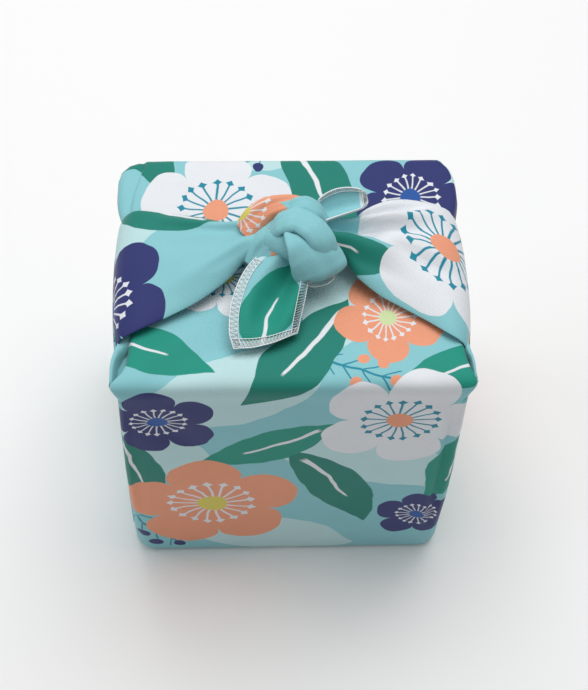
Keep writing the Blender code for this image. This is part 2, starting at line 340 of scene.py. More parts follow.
# %% Panels over the top
# Columns: y, z, half-width to the left, to the right, radius of the roll, its depth left, right.
FRONT_PANEL = [
    (-64.7, 154.0, 78.5, 78.4, 2.8, 3.0, 3.0),
    (-64.5, 157.4, 79.7, 79.6, 2.4, 2.8, 2.8),
    (-63.2, 160.0, 80.3, 80.3, 2.2, 2.4, 2.4),
    (-60.6, 161.5, 79.6, 80.0, 2.2, 2.8, 2.4),
    (-57.0, 161.9, 77.0, 79.0, 2.4, 6.5, 3.5),
    (-52.0, 161.7, 74.8, 77.8, 2.6, 9.5, 6.0),
    (-46.0, 161.2, 73.6, 77.0, 2.8, 10.5, 7.5),
    (-38.0, 160.7, 73.2, 76.4, 3.0, 10.0, 8.0),
    (-22.0, 160.1, 73.0, 75.0, 3.0, 5.0, 5.0),
    (0.0, 159.7, 72.5, 73.0, 3.0, 2.0, 2.0),
    (14.0, 158.9, 71.0, 71.0, 3.0, 1.0, 1.0),
    (56.0, 158.2, 69.0, 69.0, 3.0, 0.0, 0.0),
    (58.0, 157.5, 68.0, 68.0, 3.0, 0.0, 0.0),
    (56.0, 156.8, 66.0, 66.0, 3.0, 0.0, 0.0),
    (20.0, 156.6, 35.0, 35.0, 3.0, 0.0, 0.0),
    (-8.0, 156.6, 8.0, 8.0, 3.0, 0.0, 0.0),
]
BACK_PANEL = [
    (64.6, 154.0, 69.0, 77.2, 2.0, 0.6, 10.0),
    (64.2, 157.6, 68.4, 75.6, 2.2, 1.0, 9.0),
    (62.6, 160.2, 67.6, 74.0, 2.4, 1.6, 8.0),
    (60.0, 161.7, 67.6, 75.4, 2.4, 2.0, 8.0),
    (55.0, 162.2, 69.0, 78.6, 2.4, 2.2, 9.0),
    (48.0, 162.3, 71.0, 80.0, 2.4, 2.2, 9.0),
    (40.0, 162.3, 72.8, 80.2, 2.4, 2.4, 9.0),
    (30.0, 162.2, 73.6, 78.6, 2.4, 2.6, 9.0),
    (20.0, 162.0, 73.0, 75.0, 2.6, 2.0, 4.0),
    (12.0, 161.8, 72.0, 72.0, 3.0, 1.0, 1.0),
    (4.6, 161.8, 70.0, 70.0, 3.0, 1.0, 1.0),
    (3.0, 161.2, 70.0, 70.0, 3.0, 0.0, 0.0),
    (4.6, 160.6, 70.0, 70.0, 3.0, 0.0, 0.0),
    (54.0, 160.4, 66.0, 70.0, 3.0, 0.0, 0.0),
    (56.0, 159.9, 66.0, 69.0, 3.0, 0.0, 0.0),
    (54.0, 159.4, 66.0, 66.0, 3.0, 0.0, 0.0),
    (10.0, 159.6, 28.0, 28.0, 3.0, 0.0, 0.0),
]
PANEL_ROWS = 90
PANEL_COLUMNS = FLAT_COLUMNS + ROUND_COLUMNS
_, inset, front_round, back_round = WALL_LEVELS[-1]


def first_row(side, left_radius, right_radius):
    """The panel starts on the wall's last row."""
    half = HALF_WIDTH - inset
    left = half if left_radius else half - back_round
    start = (side * (HALF_DEPTH - inset), WALL_TOP)
    return (*start, left, half, right_radius, left_radius, right_radius)


panels = {
    -1: through([first_row(-1, front_round, front_round), *FRONT_PANEL], reach=2),
    1: through([first_row(1, 0.0, back_round), *BACK_PANEL], reach=2),
}


def panel_t(j):
    return j / PANEL_ROWS


def panel_spot(k, t, side):
    """Column k of a panel: flat to the roll, then down round it."""
    y, z, left, right, radius, deep_left, deep_right = panels[side](t)
    y0, z0 = panels[side](t - 0.004)[:2]
    y1, z1 = panels[side](t + 0.004)[:2]
    tilt = Vector((0, side * (z1 - z0), side * (y0 - y1))).normalized()
    half, deep = (right, deep_right) if k > 0 else (left, deep_left)
    n = abs(k)
    way = 1 if k > 0 else -1
    turn = QUARTER * max(n - FLAT_COLUMNS, 0) / ROUND_COLUMNS
    flat_part = (half - radius) * min(n, FLAT_COLUMNS) / FLAT_COLUMNS
    x = flat_part + radius * sin(turn)
    down = deep * (1 - cos(turn))
    u = way * (flat_part + (radius + deep) / 2 * turn)
    v = side * (HALF_DEPTH + WALL_TOP + t * panels[side].length)
    loose = ease(0, 0.1, t) * (1 - ease(half - 12, half - 4, x))
    return Vector((way * x, y, z)) + tilt * (crease(u, v) * loose - down), u, v


for side in (-1, 1):
    stretch(
        2 * PANEL_COLUMNS,
        PANEL_ROWS,
        lambda i, j: panel_spot(i - PANEL_COLUMNS, panel_t(j), side)[0],
        lambda i, j: panel_spot(i - PANEL_COLUMNS, panel_t(j), side)[1:],
        Vector((0, side, 1)),
    )

# %% [markdown]
# ## The rims of the sides
# The sides of the cloth rise past the top edge and turn over. At the front they stand up as the
# outer wall of the pocket behind each ear, under the tie ends they lie tucked in, and at the
# back they fold over the corner like paper on a parcel.

# %% Rims
# Columns: y, outward lean, crest height, crest radius, reach inward, drop of the inner side.
RIMS = {
    -1: [
        (-61.4, 2.7, 160.4, 0.8, 0.6, 3.0),
        (-58.0, 3.0, 160.9, 0.8, 1.0, 8.0),
        (-52.0, 3.0, 160.7, 0.9, 2.0, 11.0),
        (-46.0, 2.2, 160.0, 0.9, 3.0, 11.0),
        (-41.0, 0.8, 159.2, 0.9, 5.0, 8.0),
        (-36.0, -0.4, 158.4, 0.9, 8.0, 2.0),
        (0.0, -0.6, 158.2, 1.0, 9.0, 0.5),
        (25.0, -0.4, 158.4, 1.5, 10.0, 0.5),
        (30.0, 0.6, 159.2, 2.5, 13.0, 0.3),
        (36.0, 2.2, 160.0, 4.0, 15.0, 0.3),
        (44.0, 2.9, 160.2, 5.0, 15.0, 0.3),
        (53.0, 2.7, 160.2, 5.0, 14.0, 0.3),
        (62.0, 1.6, 160.1, 5.0, 12.0, 0.3),
        (71.0, -0.8, 159.8, 4.0, 10.0, 0.3),
    ],
    1: [
        (-61.4, 2.7, 160.2, 0.8, 0.6, 3.0),
        (-56.0, 2.8, 160.5, 0.8, 0.8, 7.0),
        (-50.0, 2.6, 160.0, 0.8, 1.0, 8.0),
        (-45.0, 1.6, 159.4, 0.9, 2.0, 8.0),
        (-40.0, 0.8, 158.8, 0.9, 5.0, 5.0),
        (-35.0, 0.0, 158.2, 0.9, 8.0, 2.0),
        (0.0, -0.4, 158.2, 1.0, 9.0, 0.5),
        (54.0, -0.3, 157.8, 1.0, 9.0, 0.5),
    ],
}
RISING, CREST, INWARD = 6, 5, 8
RIM_ROWS = RISING + CREST + INWARD
rims = {way: through(rows, reach=1) for way, rows in RIMS.items()}


def rim_profile(way, y, row):
    """Outward offset and height of one row of the rim, and how far it is along the cloth."""
    first, last = RIMS[way][0][0], RIMS[way][-1][0]
    _, lean, crest, radius, reach, drop = rims[way]((y - first) / (last - first))
    rise = crest - radius - WALL_TOP
    if row <= RISING:
        share = row / RISING
        return lean * ease(0, 1, share), WALL_TOP + rise * share, rise * share
    if row <= RISING + CREST:
        turn = QUARTER * (row - RISING) / CREST
        height = crest - radius + radius * sin(turn)
        return lean - radius * (1 - cos(turn)), height, rise + radius * turn
    share = (row - RISING - CREST) / INWARD
    gone = rise + radius * pi / 2 + hypot(reach, drop) * share
    return lean - radius - reach * share ** 0.6, crest - drop * share ** 1.5, gone


def ear_column(way, z):
    """Where the front panel's side edge passes a height on its way up to the ear."""
    low, high = 0.0, 0.085
    for _ in range(18):
        mid = (low + high) / 2
        if panels[-1](mid)[1] < z:
            low = mid
        else:
            high = mid
    return panel_spot(way * PANEL_COLUMNS, low, -1)[0]


def rim_spot(k, row, side):
    """Row `row` of the rim over column k of the wall."""
    base, out, u = round_the_box(k, WALL_TOP, side)
    way = 1 if k > 0 else -1
    r = front_round if side < 0 else back_round
    bend = HALF_WIDTH - inset - r + r * pi / 2
    y = side * (HALF_DEPTH - inset - r - (abs(u) - bend))
    offset, height, gone = rim_profile(way, y, row)
    spot = Vector((base.x, base.y, height)) + out * offset
    if side < 0:
        near = 1 - ease(0, 9, y + HALF_DEPTH - inset - r)
        held = ear_column(way, min(height, 160.0))
        if row > RISING:
            held += Vector((way * (offset - rim_profile(way, y, RISING)[0]), 1.0, height - 160.0))
        spot = spot.lerp(held, near)
    return spot, u, side * (HALF_DEPTH + WALL_TOP + gone)


for way in (-1, 1):
    for side in (-1, 1):
        start = FLAT_COLUMNS if side > 0 and way < 0 else PANEL_COLUMNS
        stretch(
            COLUMNS - start,
            RIM_ROWS,
            lambda i, j: rim_spot(way * (start + i), j, side)[0],
            lambda i, j: rim_spot(way * (start + i), j, side)[1:],
            Vector((way, 0, 0.4)),
        )

# %% Floors of the pockets behind the ears
POCKET_COLUMNS, POCKET_ROWS = 10, 24
POCKET_FRONT, POCKET_BACK = -61.0, -30.0
POCKET_DEEP, POCKET_RISE, POCKET_TROUGH = 151.0, 5.5, 2.4
POCKET_OUT, POCKET_WIDE = 1.2, 9.5


def pocket_spot(way, i, j):
    """A shallow trough between the rim and the panel that rises towards the tie end."""
    across, t = i / POCKET_COLUMNS, j / POCKET_ROWS
    x = HALF_WIDTH + POCKET_OUT - across * POCKET_WIDE
    y = POCKET_FRONT + (POCKET_BACK - POCKET_FRONT) * t
    z = POCKET_DEEP + POCKET_RISE * t * t + POCKET_TROUGH * (2 * across - 1) ** 2
    return Vector((way * x, y, z))


def pocket_flat(way, i, j):
    gone = pocket_spot(way, i, j).y
    u = way * (HALF_WIDTH + POCKET_WIDE * i / POCKET_COLUMNS)
    return u, -(HALF_DEPTH + WALL_TOP) - gone + POCKET_FRONT


for way in (-1, 1):
    stretch(
        POCKET_COLUMNS,
        POCKET_ROWS,
        lambda i, j: pocket_spot(way, i, j),
        lambda i, j: pocket_flat(way, i, j),
        Vector((0, 0, 1)),
    )

# %% [markdown]
# ## Tie ends, rolls and bands
# A tie end is the cloth's corner with its two edges turned under, so a section through it is a
# flat loop. The same loop, rounder, makes the rolls of the knot. Each row of a table is such a
# section; the path's own direction gives the way it faces.

# %% A loop of cloth along a path
def band(rows, around, along, square, flat, lift, held=False):
    """Columns: x, y, z, width, thickness, crown, heading of the width, its tilt.

    lift(spot, s, t, top) raises the cloth at a spot: s runs across it from -1 to 1, t along it.
    A held band's sections keep their heading; the others stand square to the path.
    """
    curve = through(rows)
    frames = []
    for j in range(along + 1):
        t = j / along
        x, y, z, width, thick, crown, heading, tilt = curve(t)
        ahead = (Vector(curve(t + 0.01)[:3]) - Vector(curve(t - 0.01)[:3])).normalized()
        heading, tilt = radians(heading), radians(tilt)
        level = cos(tilt)
        side = Vector((level * cos(heading), level * sin(heading), sin(tilt)))
        if not held:
            side = (side - ahead * side.dot(ahead)).normalized()
        up = ahead.cross(side).normalized()
        frames.append((Vector((x, y, z)), side, up, width, thick, crown))

    def section(i):
        a = 2 * pi * i / around - pi / 2
        return -cos(a), sin(a)

    def place(i, j):
        centre, side, up, width, thick, crown = frames[j]
        s, top = section(i)
        half = thick / 2 * max(1 - abs(s) ** square, 0.0) ** 0.5 * (1 if top > 0 else -1)
        spot = centre + side * (width / 2 * s) + up * (half - crown * s * s)
        return spot + up * lift(spot, s, j / along, top > 0)

    def cloth(i, j):
        s, top = section(i)
        share = s if top >= 0 else (2 - s if s > 0 else -2 - s)
        return flat(share, j / along, frames[j][3] / 2, curve.length)

    return stretch(around, along, place, cloth)


# %% Left and right tie ends
LEFT_END = [
    (-70.0, 0.0, 0.80, 96.0, 0.7, 0.0, 90.0, 0.0),
    (-76.4, 0.0, 1.90, 99.0, 1.2, 0.0, 90.0, 0.0),
    (-78.9, 0.0, 7.50, 102.0, 1.8, 0.4, 90.0, 0.0),
    (-79.3, 0.0, 40.0, 106.0, 2.2, 0.8, 90.0, 0.0),
    (-79.7, -1.0, 85.0, 103.0, 2.4, 1.0, 90.0, 0.0),
    (-79.9, -3.0, 125.0, 86.0, 2.4, 1.0, 90.0, 0.0),
    (-79.8, -4.5, 150.0, 73.0, 2.4, 1.4, 90.0, 0.0),
    (-77.8, -4.6, 161.0, 69.0, 2.4, 1.8, 90.0, -1.0),
    (-70.5, -3.8, 166.2, 66.0, 2.4, 1.4, 91.0, 1.0),
    (-57.0, -0.8, 168.8, 57.0, 2.4, 4.0, 92.0, 1.0),
    (-43.0, 1.6, 171.0, 46.0, 3.0, 5.0, 93.0, 1.0),
    (-31.0, 3.6, 173.4, 32.0, 4.2, 5.0, 94.0, 1.0),
    (-22.0, 5.6, 175.8, 20.0, 6.6, 3.0, 95.0, 1.0),
    (-10.0, 6.0, 177.6, 15.0, 9.0, 0.5, 95.0, 0.0),
]
RIGHT_END = [
    (70.0, 0.0, 0.80, 96.0, 0.7, 0.0, -90.0, 0.0),
    (76.4, 0.0, 1.90, 99.0, 1.2, 0.0, -90.0, 0.0),
    (79.0, 0.0, 7.50, 102.0, 1.8, 0.4, -90.0, 0.0),
    (79.8, 0.0, 40.0, 107.0, 2.2, 1.2, -90.0, 0.0),
    (80.6, -1.0, 85.0, 106.0, 2.4, 1.8, -90.0, 0.0),
    (80.9, -3.0, 125.0, 92.0, 2.4, 2.4, -90.0, 0.0),
    (80.9, -5.4, 146.0, 80.0, 2.4, 2.8, -90.0, 0.0),
    (80.2, -6.4, 155.0, 75.0, 2.4, 2.8, -90.0, 0.0),
    (77.8, -6.2, 162.0, 73.0, 2.2, 2.4, -90.0, 0.0),
    (72.0, -5.0, 166.8, 71.0, 2.4, 2.6, -90.5, -0.5),
    (58.0, 1.6, 169.8, 63.0, 2.4, 5.0, -91.0, -3.0),
    (45.0, 4.6, 172.2, 53.0, 2.8, 6.0, -92.0, -4.0),
    (33.0, 4.6, 174.4, 36.0, 3.6, 5.5, -93.0, -3.0),
    (24.0, 5.0, 176.2, 18.0, 6.6, 3.0, -95.0, -1.0),
    (12.0, 5.6, 177.6, 14.0, 9.0, 0.5, -95.0, 0.0),
]
# Folds of the tie ends on top. Columns: from x, y to x, y, half-width, height.
END_FOLDS = [
    (-20.0, 11.5, -74.0, 27.5, 2.4, 1.7),
    (-22.0, 8.6, -70.0, 22.0, 2.0, -1.3),
    (-20.0, 5.0, -62.0, 6.0, 5.0, -1.6),
    (-20.0, 2.0, -60.0, -19.0, 4.0, 1.6),
    (-20.0, -0.5, -44.0, -12.0, 2.0, -1.0),
    (12.0, 3.0, 66.0, -2.0, 5.0, 3.0),
    (13.0, 7.0, 66.0, 14.0, 2.9, -6.0),
    (13.0, 10.0, 78.0, 26.5, 3.6, 5.0),
    (24.0, 16.0, 70.0, 31.5, 2.0, -4.4),
    (22.0, 18.5, 60.0, 34.5, 2.8, 2.2),
    (46.0, 9.0, 84.0, -9.0, 3.2, 2.4),
    (50.0, 1.0, 84.0, -17.0, 4.2, -2.6),
    (22.0, -2.0, 58.0, -16.0, 3.0, -1.1),
]


def end_fold(spot, s, t, top):
    height = 0.5 * noise.noise(spot / 24) + (0.22 * noise.noise(spot / 8) if top else 0.0)
    place = Vector((spot.x, spot.y))
    for x0, y0, x1, y1, half, tall in END_FOLDS:
        along = Vector((x1 - x0, y1 - y0))
        share = (place - Vector((x0, y0))).dot(along) / along.length_squared
        off = (place - Vector((x0, y0)) - along * min(max(share, 0.0), 1.0)).length / half
        if off < SWELL_REACH:
            height += tall * (1 - ease(0.45, 1.1, share)) * swell(off)
    return height * ease(163, 169, spot.z) + 0.3 * noise.noise(spot / 30) * (1 - abs(s))


def end_flat(way):
    """The tie end's print runs on from the walls, squeezed where the cloth gathers."""

    def flat(share, t, half, length):
        spread = half + 0.35 * max(34.0 - half, 0.0)
        return way * (HALF_WIDTH + t * length), way * -1 * share * spread

    return flat


band(LEFT_END, 76, 82, 6, end_flat(-1), end_fold, held=True)
band(RIGHT_END, 76, 82, 6, end_flat(1), end_fold, held=True)

# %% [markdown]
# ## The square knot
# The near roll is the left end coming over the right one. The collar and the wrap are one band
# of the other end that goes over the top and down the front, and the gusset is the left end
# again where it turns in under the collar. They meet over a gathered heart of cloth.

# %% Knot
COLLAR = [
    (-8.6, 2.5, 184.0, 9.0, 3.0, 0.5, 78.0, 34.0),
    (-4.8, 4.0, 189.4, 12.0, 3.0, 1.2, 72.0, 14.0),
    (1.4, 4.4, 192.2, 13.5, 3.0, 1.8, 64.0, -2.0),
    (8.6, 0.6, 191.6, 13.5, 3.0, 1.8, 48.0, -6.0),
    (14.0, -5.2, 187.4, 12.4, 3.0, 1.4, 32.0, -4.0),
    (16.4, -8.6, 179.0, 10.0, 3.0, 0.5, 22.0, 0.0),
]
WRAP = [
    (0.6, 0.6, 187.0, 12.0, 3.0, 0.6, 44.0, -30.0),
    (4.6, -4.2, 187.6, 18.0, 3.0, 2.0, 34.0, -18.0),
    (9.0, -9.4, 184.6, 23.0, 2.8, 3.0, 28.0, -6.0),
    (12.6, -13.2, 179.6, 25.0, 2.6, 3.2, 22.0, 0.0),
    (14.4, -15.0, 175.4, 23.0, 2.4, 2.6, 18.0, 2.0),
    (14.0, -13.4, 171.4, 20.0, 2.0, 1.5, 16.0, 4.0),
]
NEAR_ROLL = [
    (-21.5, 8.0, 177.5, 12.0, 5.0, 0.5, 98.0, 10.0),
    (-16.0, 11.0, 182.6, 13.0, 5.6, 1.6, 112.0, 24.0),
    (-9.0, 14.6, 186.4, 12.0, 6.0, 1.6, 118.0, 14.0),
    (-1.0, 15.6, 187.0, 11.0, 6.0, 1.4, 100.0, 4.0),
    (7.0, 13.6, 185.4, 12.0, 6.0, 1.0, 75.0, 0.0),
    (12.0, 9.0, 182.0, 11.0, 6.0, 0.5, 50.0, 0.0),
]
GUSSET = [
    (-17.4, -7.4, 172.0, 11.0, 2.8, 0.5, 118.0, 24.0),
    (-14.0, -3.0, 177.0, 15.0, 3.0, 1.6, 120.0, 24.0),
    (-8.0, -0.5, 182.0, 17.0, 3.6, 2.6, 116.0, 16.0),
    (-1.0, 1.0, 185.0, 15.0, 5.0, 2.0, 100.0, 0.0),
]
BEHIND = [
    (-3.0, 9.0, 184.0, 8.0, 3.0, 0.5, 90.0, 0.0),
    (1.0, 13.0, 189.0, 9.0, 3.0, 1.0, 92.0, 0.0),
    (6.0, 13.6, 190.4, 9.0, 3.0, 1.2, 88.0, 0.0),
    (11.4, 11.4, 188.4, 9.0, 3.0, 1.0, 80.0, 0.0),
    (15.0, 8.6, 183.0, 8.0, 3.0, 0.5, 70.0, 0.0),
]
HEART = [
    (-12.0, 4.0, 178.0, 13.0, 9.0, 0.5, 90.0, 0.0),
    (-4.0, 3.0, 180.0, 20.0, 15.0, 0.5, 90.0, 0.0),
    (6.0, 1.0, 180.0, 22.0, 16.0, 0.5, 90.0, 0.0),
    (17.0, 2.0, 178.0, 14.0, 10.0, 0.5, 90.0, 0.0),
]


def pull(depth, scale):
    """Fine lengthwise creases of cloth under tension."""

    def lift(spot, s, t, top):
        return depth * noise.noise(Vector((s * scale, t * 1.4, spot.length / 90)))

    return lift


def knot_flat(u, v, turn):
    """The knot's cloth comes from near the corners of the square."""
    a = radians(turn)

    def flat(share, t, half, length):
        along, aside = t * length, share * half * 1.3
        return u + along * cos(a) - aside * sin(a), v + along * sin(a) + aside * cos(a)

    return flat


band(HEART, 30, 14, 2, knot_flat(300, 20, 0), pull(0.8, 4.0))
band(NEAR_ROLL, 40, 40, 3, knot_flat(-330, 14, 180), pull(1.5, 3.4))
band(GUSSET, 40, 26, 5, knot_flat(-318, -20, 180), pull(1.3, 3.0))
band(BEHIND, 32, 30, 4, knot_flat(366, 22, 160), pull(0.9, 3.0))
band(COLLAR, 44, 40, 6, knot_flat(338, -16, 20), pull(0.6, 2.4))
band(WRAP, 50, 40, 6, knot_flat(330, 20, 10), pull(0.9, 2.6))

# %% [markdown]
# ## The two tails
# Each tail is the cloth's own corner, a single layer that cups between its hemmed edges. Five
# points across each row place the two edges, the swell beside each and the trough between.

# %% Tails
FRONT_TAIL = [
    [
        (-3.0, 1.0, 181.0), (-1.0, -2.0, 181.0), (1.0, -5.0, 177.0),
        (4.0, -6.5, 179.5), (7.0, -8.0, 178.0),
    ],
    [
        (-9.0, -1.4, 179.0), (-4.5, -5.0, 180.0), (0.2, -8.6, 173.4),
        (4.4, -10.5, 177.5), (7.8, -11.6, 175.5),
    ],
    [
        (-14.0, -4.0, 176.5), (-8.0, -8.5, 178.2), (-1.2, -12.5, 171.0),
        (4.4, -14.5, 175.8), (7.2, -15.0, 173.6),
    ],
    [
        (-20.0, -10.0, 174.4), (-13.5, -14.0, 176.0), (-4.4, -18.5, 168.8),
        (3.0, -20.5, 173.8), (6.2, -20.8, 171.2),
    ],
    [
        (-25.0, -20.0, 172.2), (-18.0, -22.0, 173.4), (-8.4, -25.5, 167.2),
        (0.5, -27.2, 171.2), (4.6, -27.6, 168.6),
    ],
    [
        (-27.6, -31.0, 170.2), (-20.5, -31.2, 171.0), (-11.4, -33.0, 167.0),
        (-2.4, -33.8, 169.4), (3.2, -32.8, 166.6),
    ],
    [
        (-28.0, -39.6, 168.2), (-21.0, -39.6, 168.8), (-12.0, -39.6, 167.4),
        (-4.4, -38.8, 167.8), (2.4, -36.4, 165.2),
    ],
    [
        (-26.2, -46.8, 165.4), (-20.0, -46.8, 166.0), (-12.0, -45.2, 166.2),
        (-5.0, -42.4, 166.0), (1.8, -38.4, 164.4),
    ],
]
REAR_TAIL = [
    [
        (9.0, 5.0, 183.0), (8.5, 7.0, 182.0), (8.0, 10.0, 181.0),
        (8.0, 12.0, 182.5), (8.4, 14.0, 184.5),
    ],
    [
        (13.0, 7.0, 184.4), (12.6, 9.4, 182.2), (12.0, 12.4, 181.0),
        (11.8, 15.6, 183.0), (12.0, 18.0, 186.4),
    ],
    [
        (17.6, 8.8, 185.2), (17.6, 11.4, 182.4), (17.0, 15.0, 181.0),
        (16.4, 18.6, 183.6), (16.0, 21.0, 187.8),
    ],
    [
        (22.6, 10.8, 185.4), (23.0, 13.4, 182.4), (22.6, 17.2, 181.0),
        (21.8, 20.8, 183.8), (20.8, 23.2, 188.2),
    ],
    [
        (27.6, 13.2, 184.8), (28.2, 15.4, 182.2), (28.2, 18.8, 181.0),
        (27.4, 22.2, 183.4), (26.2, 24.4, 187.6),
    ],
    [
        (31.6, 15.8, 183.6), (32.4, 17.6, 181.8), (32.8, 20.2, 181.0),
        (32.2, 22.8, 182.6), (31.0, 24.8, 186.0),
    ],
    [
        (33.6, 18.4, 182.4), (34.4, 19.6, 181.4), (35.0, 21.2, 181.0),
        (34.8, 22.8, 181.8), (34.0, 24.4, 184.0),
    ],
]
TAIL_ACROSS = 40
TAIL_ALONG = 56


def tail(rows, tip):
    """Return the stretch's place function; its flat spots run from the cloth's corner."""
    down = [through([row[c] for row in rows]) for c in range(5)]
    lines = {}
    for j in range(TAIL_ALONG + 1):
        lines[j] = through([down[c](j / TAIL_ALONG) for c in range(5)])
    long = down[0].length
    wide = lines[TAIL_ALONG // 2].length

    def place(i, j):
        s = i / TAIL_ACROSS
        spot = Vector(lines[j](s))
        loose = ease(0, 0.1, s) * (1 - ease(0.9, 1, s))
        return spot + Vector((0, 0, 0.25 * noise.noise(spot / 7) * loose))

    def flat(i, j):
        far = (1 - j / TAIL_ALONG) * long
        aside = i / TAIL_ACROSS * wide
        half = sqrt(0.5)
        return tip + (far + aside) * half * (1 if tip < 0 else -1), (far - aside) * half

    stretch(TAIL_ACROSS, TAIL_ALONG, place, flat, Vector((0, 0, 1)))
    return place


front_tail = tail(FRONT_TAIL, -CORNER)
rear_tail = tail(REAR_TAIL, CORNER)

# %% The wrap's turned-under end, which peeps out below it
WRAP_END_FROM = Vector((6.4, -16.8, 172.2))
WRAP_END_TO = Vector((18.8, -12.8, 172.2))
WRAP_END_DROP = Vector((0.6, -1.4, -3.4))
WRAP_END_COLUMNS, WRAP_END_ROWS = 26, 6


def wrap_end_spot(i, j):
    across, down = i / WRAP_END_COLUMNS, j / WRAP_END_ROWS
    hang = (4 * across * (1 - across)) ** 0.4
    spot = WRAP_END_FROM.lerp(WRAP_END_TO, across) + WRAP_END_DROP * down * hang
    return spot + Vector((0, 0, 0.5 * noise.noise(spot / 3)))


def wrap_end_flat(i, j):
    return CORNER - 62.0 + 0.5 * i, 40.0 - 0.6 * j


stretch(WRAP_END_COLUMNS, WRAP_END_ROWS, wrap_end_spot, wrap_end_flat, Vector((0, -1, 1)))
print("cloth:", sum(len(bm.faces) for bm in stretches), "faces")

# %% [markdown]
# ## The overlocked edge
# The square's edge is overlocked: a thread zigzags between the cut edge and a line a few
# millimetres in, and two more run along the cut and along that line. Each is a thin tube.

# %% Tubes of thread
THREAD_ROUND = 5
THREAD_RADIUS = 0.24
STITCH_LIFT = Vector((0, 0, 0.42))
threads_made = []


def thread(points, radius=THREAD_RADIUS):
    """A round thread through a list of spots."""
    bm = bmesh.new()
    bmesh.ops.create_grid(bm, x_segments=THREAD_ROUND, y_segments=len(points) - 1, size=0.5)
    for vert in bm.verts:
        i = round((vert.co.x + 0.5) * THREAD_ROUND)
        j = round((vert.co.y + 0.5) * (len(points) - 1))
        ahead = (points[min(j + 1, len(points) - 1)] - points[max(j - 1, 0)]).normalized()
        side = ahead.cross(Vector((0, 0, 1))).normalized()
        a = 2 * pi * i / THREAD_ROUND
        vert.co = points[j] + (side * cos(a) + ahead.cross(side) * sin(a)) * radius
    bmesh.ops.remove_doubles(bm, verts=bm.verts, dist=WELD)
    bmesh.ops.recalc_face_normals(bm, faces=bm.faces)
    threads_made.append(bm)


def overlock(edge, inner):
    """Zigzag between two rows of spots, with a thread along each."""
    zigzag = [(edge if k % 2 else inner)[k] + STITCH_LIFT for k in range(len(edge))]
    thread(zigzag)
    thread([spot + STITCH_LIFT * 0.4 for spot in edge], THREAD_RADIUS * 1.3)
    thread([spot + STITCH_LIFT for spot in inner], THREAD_RADIUS * 0.8)


# %% Overlock the tails and the wrap's end
HEM_ACROSS = 4.6
HEM_ALONG = 4
END_ROW = TAIL_ALONG
for place, first in ((front_tail, 14), (rear_tail, 12)):
    rows = range(first, END_ROW + 1)
    overlock([place(0, j) for j in rows], [place(HEM_ACROSS, j) for j in rows])
    far = [place(TAIL_ACROSS, j) for j in rows]
    overlock(far, [place(TAIL_ACROSS - HEM_ACROSS, j) for j in rows])
    steps = range(TAIL_ACROSS + 1)
    overlock([place(i, END_ROW) for i in steps], [place(i, END_ROW - HEM_ALONG) for i in steps])
steps = range(WRAP_END_COLUMNS + 1)
overlock([wrap_end_spot(i, WRAP_END_ROWS) for i in steps], [wrap_end_spot(i, 1) for i in steps])

# %% Join the stretches into one cloth
def joined(parts):
    """One bmesh of all the parts."""
    whole = bmesh.new()
    for part in parts:
        mesh = bpy.data.meshes.new("part")
        part.to_mesh(mesh)
        part.free()
        whole.from_mesh(mesh)
        bpy.data.meshes.remove(mesh)
    return whole


def finish_mesh(name, bm):
    """Make an object at the origin from a bmesh in millimetres."""
    for vert in bm.verts:
        vert.co = (vert.co - MIDDLE) * MM
    mesh = bpy.data.meshes.new(name)
    bm.to_mesh(mesh)
    bm.free()
    for polygon in mesh.polygons:
        polygon.use_smooth = True
    obj = bpy.data.objects.new(name, mesh)
    bpy.context.scene.collection.objects.link(obj)
    return obj


whole = joined(stretches)
bmesh.ops.remove_doubles(whole, verts=whole.verts, dist=WELD)
print("cloth area, m2:", round(sum(face.calc_area() for face in whole.faces) * MM * MM, 4))
cloth = finish_mesh("furoshiki_sheet", whole)
thickness = cloth.modifiers.new("thickness", "SOLIDIFY")
thickness.thickness = SHEET * MM
thickness.offset = -1.0
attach(cloth, "root")
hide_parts("furoshiki_cloth")

# %% Join the threads
edging_mesh = joined(threads_made)
edging = finish_mesh("overlock_edging", edging_mesh)
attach(edging, "root")

# %% [markdown]
# ## The print
# The cloth is printed before it is cut, so the print is drawn once on the flat square and every
# fold shows its own part of it. Shader maths reads best as plain expressions, so a small class
# wraps a socket and turns arithmetic into Math nodes.

# %% Sockets that take part in arithmetic
class Value:
    """A number or vector in the material."""

    tree = None

    def __init__(self, socket):
        self.socket = socket

    @classmethod
    def node(cls, kind, settings, inputs, out=0):
        """Add a node: its settings first, then a value or a link for each named socket."""
        made = cls.tree.nodes.new("ShaderNode" + kind)
        for name, value in settings.items():
            setattr(made, name, value)
        for name, value in inputs.items():
            if isinstance(value, Value):
                cls.tree.links.new(value.socket, made.inputs[name])
            else:
                made.inputs[name].default_value = value
        return cls(made.outputs[out])

    @classmethod
    def maths(cls, operation, *values, clamp=False):
        settings = {"operation": operation, "use_clamp": clamp}
        return cls.node("Math", settings, dict(enumerate(values)))

    def __add__(self, other):
        return self.maths("ADD", self, other)

    def __radd__(self, other):
        return self.maths("ADD", other, self)

    def __sub__(self, other):
        return self.maths("SUBTRACT", self, other)

    def __rsub__(self, other):
        return self.maths("SUBTRACT", other, self)

    def __mul__(self, other):
        return self.maths("MULTIPLY", self, other)

    def __rmul__(self, other):
        return self.maths("MULTIPLY", other, self)

    def __abs__(self):
        return self.maths("ABSOLUTE", self)

    def __pow__(self, other):
        return self.maths("POWER", self, other)


def inside(gap, soft):
    """1 where gap is positive and 0 where it is negative, with an edge `soft` wide."""
    return Value.maths("MULTIPLY_ADD", gap, 1 / soft, 0.5, clamp=True)


def either(one, two):
    return Value.maths("MAXIMUM", one, two)


MIX_FACTOR, MIX_A, MIX_B, MIX_RESULT = 0, 6, 7, 2


